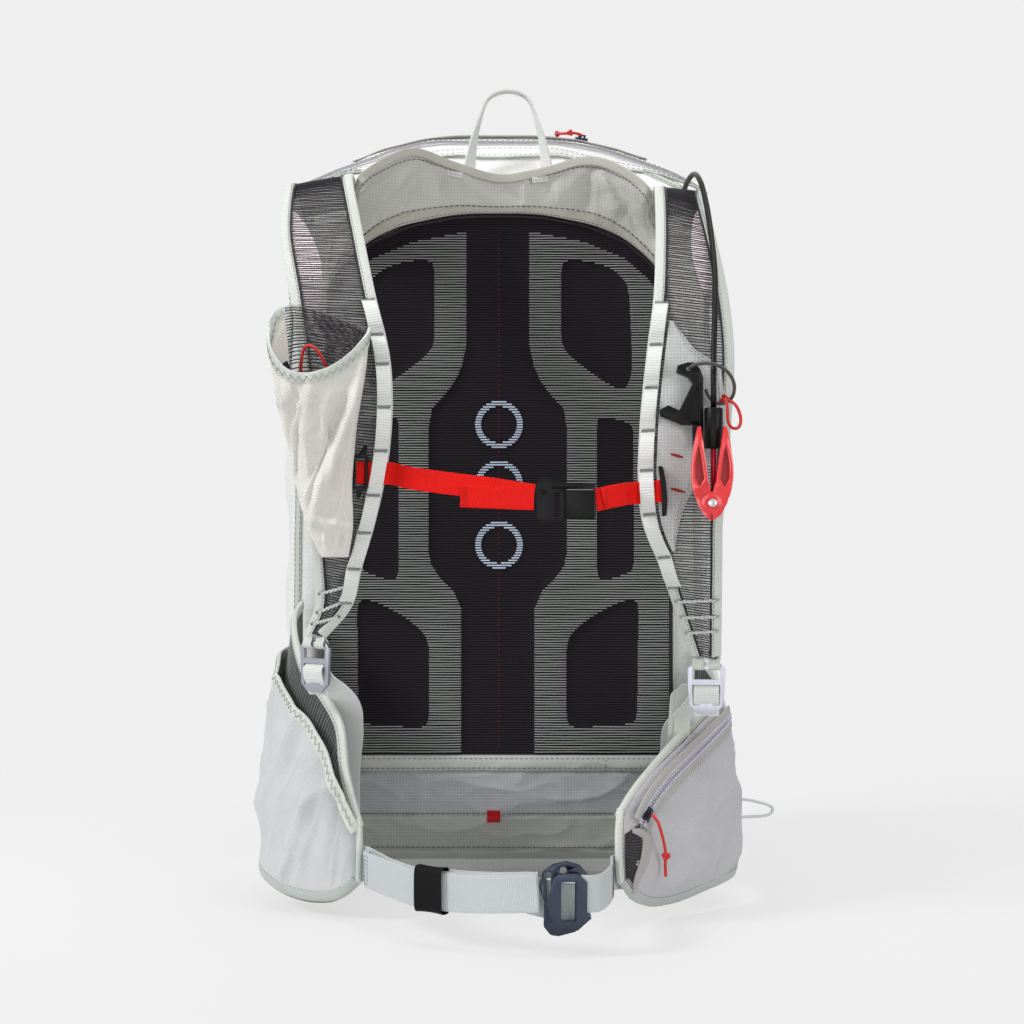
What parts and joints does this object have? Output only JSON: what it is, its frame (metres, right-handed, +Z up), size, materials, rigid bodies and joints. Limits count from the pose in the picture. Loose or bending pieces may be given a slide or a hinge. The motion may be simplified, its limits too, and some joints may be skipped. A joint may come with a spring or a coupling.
{
  "type": "avalanche airbag backpack",
  "caption": "Light ski-touring backpack with an avalanche airbag, a cable trigger on the right strap, a hip belt with pockets and a back panel of striped mesh.",
  "frame": {"origin": "middle of the base, on the surface the pack stands on", "axes": "+Z up, +X to the right of someone who looks at the harness, harness towards -Y"},
  "size_m": [0.3974, 0.4328, 0.6014],
  "materials": {
    "ripstop_white": "ripstop nylon",
    "ripstop_grey": "ripstop nylon",
    "spacer_mesh": "striped spacer mesh",
    "foam": "mesh over foam",
    "webbing_white": "woven webbing",
    "webbing_red": "woven webbing",
    "stretch_mesh": "fine stretch mesh",
    "elastic_black": "woven elastic",
    "plastic_black": "moulded",
    "plastic_red": "moulded",
    "steel": "plain",
    "rod_red": "anodised",
    "metal_polished": "polished",
    "metal_dark": "anodised",
    "zip": "coil zip",
    "cord_red": "braided cord",
    "cord_dark": "braided cord",
    "frame_aluminium": "satin",
    "frame_sheet": "smooth",
    "airbag_cloth": "coated nylon"
  },
  "bodies": {
    "pack": {"airbag_hose": "plastic_black", "airbag_inner_bladder": "airbag_cloth", "airbag_outer_bladder": "airbag_cloth", "back_foam_pad": "foam", "back_mesh_panel": "spacer_mesh", "bag_shell": "ripstop_white", "cable_ferrule": "plastic_black", "cable_sheath": "plastic_black", "flask_cord": "cord_red", "frame_sheet": "frame_sheet", "frame_stay": "frame_aluminium", "front_pocket": "ripstop_white", "hip_buckle_frame": "metal_dark", "hip_strap_left": "webbing_white", "hip_strap_right": "webbing_white", "inflator_body": "frame_aluminium", "inflator_cap": "frame_aluminium", "left_daisy_chain": "webbing_white", "left_flask_pocket": "stretch_mesh", "left_hip_pocket": "stretch_mesh", "left_hip_wing": "ripstop_grey", "left_lower_strap": "webbing_white", "left_shoulder_strap": "foam", "lumbar_panel": "ripstop_grey", "right_daisy_chain": "webbing_white", "right_hip_pocket": "stretch_mesh", "right_hip_wing": "ripstop_grey", "right_lower_strap": "webbing_white", "right_shoulder_strap": "foam", "shoulder_yoke": "ripstop_grey", "side_ski_loop": "cord_dark", "sternum_buckle_socket": "plastic_black", "sternum_slider_left": "plastic_black", "sternum_slider_right": "plastic_black", "sternum_strap_left": "webbing_red", "sternum_strap_right": "webbing_red", "trigger_clip": "plastic_black", "trigger_panel": "ripstop_grey", "trigger_red_loop": "cord_red", "trigger_tether": "cord_dark", "zip_tapes": "zip"},
    "haul_loop": {"haul_loop": "webbing_white"},
    "trigger": {"trigger_core": "plastic_red", "trigger_rod": "rod_red", "trigger_screw": "steel"},
    "trigger_wing_left": {"trigger_wing_left": "plastic_red"},
    "trigger_wing_right": {"trigger_wing_right": "plastic_red"},
    "inflator_piston": {"inflator_piston": "steel"},
    "gas_cylinder": {"gas_cylinder": "frame_aluminium"},
    "sternum_plug": {"sternum_buckle_plug": "plastic_black"},
    "hip_hook": {"hip_buckle_hook": "metal_dark"},
    "left_strap_buckle": {"left_strap_buckle": "metal_polished"},
    "right_strap_buckle": {"right_strap_buckle": "metal_polished"},
    "top_zip": {"top_zip_slider": "zip", "top_zip_pull": "cord_red"},
    "front_zip": {"front_zip_slider": "zip", "front_zip_pull": "cord_red"},
    "hip_zip": {"hip_zip_slider": "zip", "hip_zip_pull": "cord_red"},
    "strap_keeper": {"strap_keeper": "elastic_black"}
  },
  "joints": [
    {"name": "haul_loop_fold", "type": "hinge", "parent": "pack", "child": "haul_loop", "pos_m": [0.007, -0.08055, 0.53725], "axis": [1, 0, 0], "range_deg": [-25, 60]},
    {"name": "trigger_pull", "type": "slide", "parent": "pack", "child": "trigger", "axis": [0, 0, -1], "range_m": [0, 0.04], "stiffness_N_per_m": 400, "springref_m": -0.005},
    {"name": "trigger_wing_left_open", "type": "hinge", "parent": "trigger", "child": "trigger_wing_left", "pos_m": [0.1416, -0.27, 0.288], "axis": [0, -1, 0], "range_deg": [0, 85]},
    {"name": "trigger_wing_right_open", "type": "hinge", "parent": "trigger", "child": "trigger_wing_right", "pos_m": [0.1416, -0.27, 0.288], "axis": [0, 1, 0], "range_deg": [0, 85]},
    {"name": "inflator_piston_travel", "type": "slide", "parent": "pack", "child": "inflator_piston", "axis": [0, 0, 1], "range_m": [0, 0.008]},
    {"name": "gas_cylinder_unscrew", "type": "hinge", "parent": "pack", "child": "gas_cylinder", "pos_m": [-0.096, -0.014, 0.08], "axis": [0, 0, 1], "continuous": true},
    {"name": "sternum_buckle_release", "type": "slide", "parent": "pack", "child": "sternum_plug", "axis": [-1, 0, 0], "range_m": [0, 0.014], "deforming": ["sternum_strap_left"]},
    {"name": "hip_buckle_release", "type": "slide", "parent": "pack", "child": "hip_hook", "axis": [0, -1, 0], "range_m": [0, 0.012], "deforming": ["hip_strap_right"]},
    {"name": "left_strap_buckle_tilt", "type": "hinge", "parent": "pack", "child": "left_strap_buckle", "pos_m": [-0.1262, -0.2028, 0.1906], "axis": [0.809, -0.5878, 0], "range_deg": [-20, 20], "deforming": ["left_lower_strap"]},
    {"name": "right_strap_buckle_tilt", "type": "hinge", "parent": "pack", "child": "right_strap_buckle", "pos_m": [0.1452, -0.199, 0.1754], "axis": [0.9903, -0.1392, 0], "range_deg": [-20, 20], "deforming": ["right_lower_strap"]},
    {"name": "top_zip_travel", "type": "hinge", "parent": "pack", "child": "top_zip", "pos_m": [0, -0.024, 0.238], "axis": [0, 1, 0], "range_deg": [-31, 0]},
    {"name": "front_zip_travel", "type": "slide", "parent": "pack", "child": "front_zip", "axis": [1, 0, 0], "range_m": [0, 0.15]},
    {"name": "hip_zip_travel", "type": "hinge", "parent": "pack", "child": "hip_zip", "pos_m": [0.0896, -0.0492, -0.0481], "axis": [-0.8151, 0.2988, 0.4963], "range_deg": [0, 14]},
    {"name": "strap_keeper_slide", "type": "slide", "parent": "pack", "child": "strap_keeper", "axis": [0.7947, -0.6069, 0.0035], "range_m": [-0.005, 0.005]}
  ],
  "couplings": [
    {"joint": "inflator_piston_travel", "follows": "trigger_pull", "ratio": 0.2}
  ]
}
